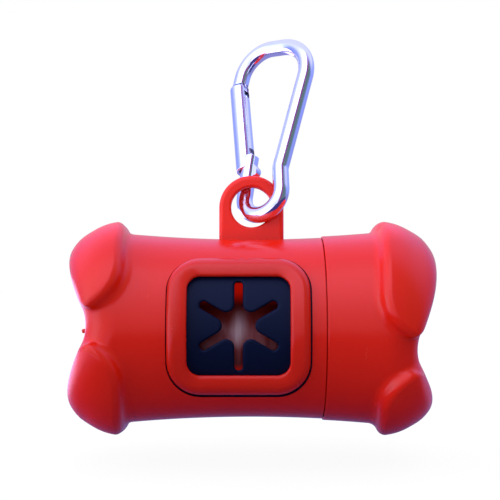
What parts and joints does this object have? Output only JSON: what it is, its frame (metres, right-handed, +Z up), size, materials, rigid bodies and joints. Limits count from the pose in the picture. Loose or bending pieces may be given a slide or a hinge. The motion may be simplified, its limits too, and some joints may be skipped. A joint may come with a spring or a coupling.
{
  "type": "dog poop bag dispenser",
  "caption": "Bone-shaped red plastic dispenser for a roll of waste bags, with a screw-off end, a slotted rubber star window and a sprung snap hook on its tab.",
  "frame": {"origin": "inside of the snap hook's crook, where a leash ring bears on it", "axes": "+X along the bone from the closed end to the screw cap, +Y from the star window to the back, +Z up from the bone to the hook"},
  "size_m": [0.0841, 0.0481, 0.0954],
  "materials": {
    "shell_plastic": "satin moulded ABS",
    "bezel_plastic": "satin moulded ABS",
    "dark_rubber": "matt moulded",
    "core_board": "wound grey-brown board",
    "bag_film": "thin wound film",
    "plated_hook": "bright nickel plating",
    "plated_gate": "bright nickel plating",
    "steel_pin": "turned",
    "spring_steel": "drawn wire"
  },
  "bodies": {
    "hook": {"carabiner_hook": "plated_hook"},
    "gate": {"carabiner_gate": "plated_gate", "gate_pin": "steel_pin", "latch_pin": "steel_pin", "gate_spring": "spring_steel"},
    "plunger": {"spring_plunger": "steel_pin"},
    "shell": {"main_shell": "shell_plastic", "window_bezel": "bezel_plastic", "star_diaphragm": "dark_rubber", "leading_bag": "bag_film"},
    "core": {"roll_core": "core_board"},
    "cap": {"end_cap": "shell_plastic"},
    "roll": {"bag_roll": "bag_film"}
  },
  "joints": [
    {"name": "gate_open", "type": "hinge", "parent": "hook", "child": "gate", "pos_m": [-0.00792, -0.00764, -0.028], "axis": [0.5825, 0.7271, -0.3633], "range_deg": [0, 28], "stiffness_Nm_per_rad": 0.03, "springref_deg": -34.38, "deforming": ["gate_spring"]},
    {"name": "plunger_travel", "type": "slide", "parent": "gate", "child": "plunger", "axis": [-0.0705, 0.4904, 0.8686], "range_m": [0, 0.0005]},
    {"name": "dispenser_swing", "type": "hinge", "parent": "hook", "child": "shell", "pos_m": [-0.00693, -0.01428, -0.03877], "axis": [0, 0.9956, -0.0941], "range_deg": [-50, 50]},
    {"name": "roll_draw", "type": "slide", "parent": "shell", "child": "core", "axis": [1, 0, 0], "range_m": [0, 0.0061]},
    {"name": "cap_turn", "type": "hinge", "parent": "core", "child": "cap", "pos_m": [0.01307, -0.01694, -0.06694], "axis": [1, 0, 0], "range_deg": [0, 540]},
    {"name": "roll_spin", "type": "hinge", "parent": "core", "child": "roll", "pos_m": [-0.00793, -0.01726, -0.07033], "axis": [1, 0, 0], "continuous": true}
  ],
  "couplings": [
    {"joint": "plunger_travel", "follows": "gate_open", "m_per_rad": 0.0008},
    {"joint": "roll_draw", "follows": "cap_turn", "m_per_rad": 0.00063662}
  ]
}
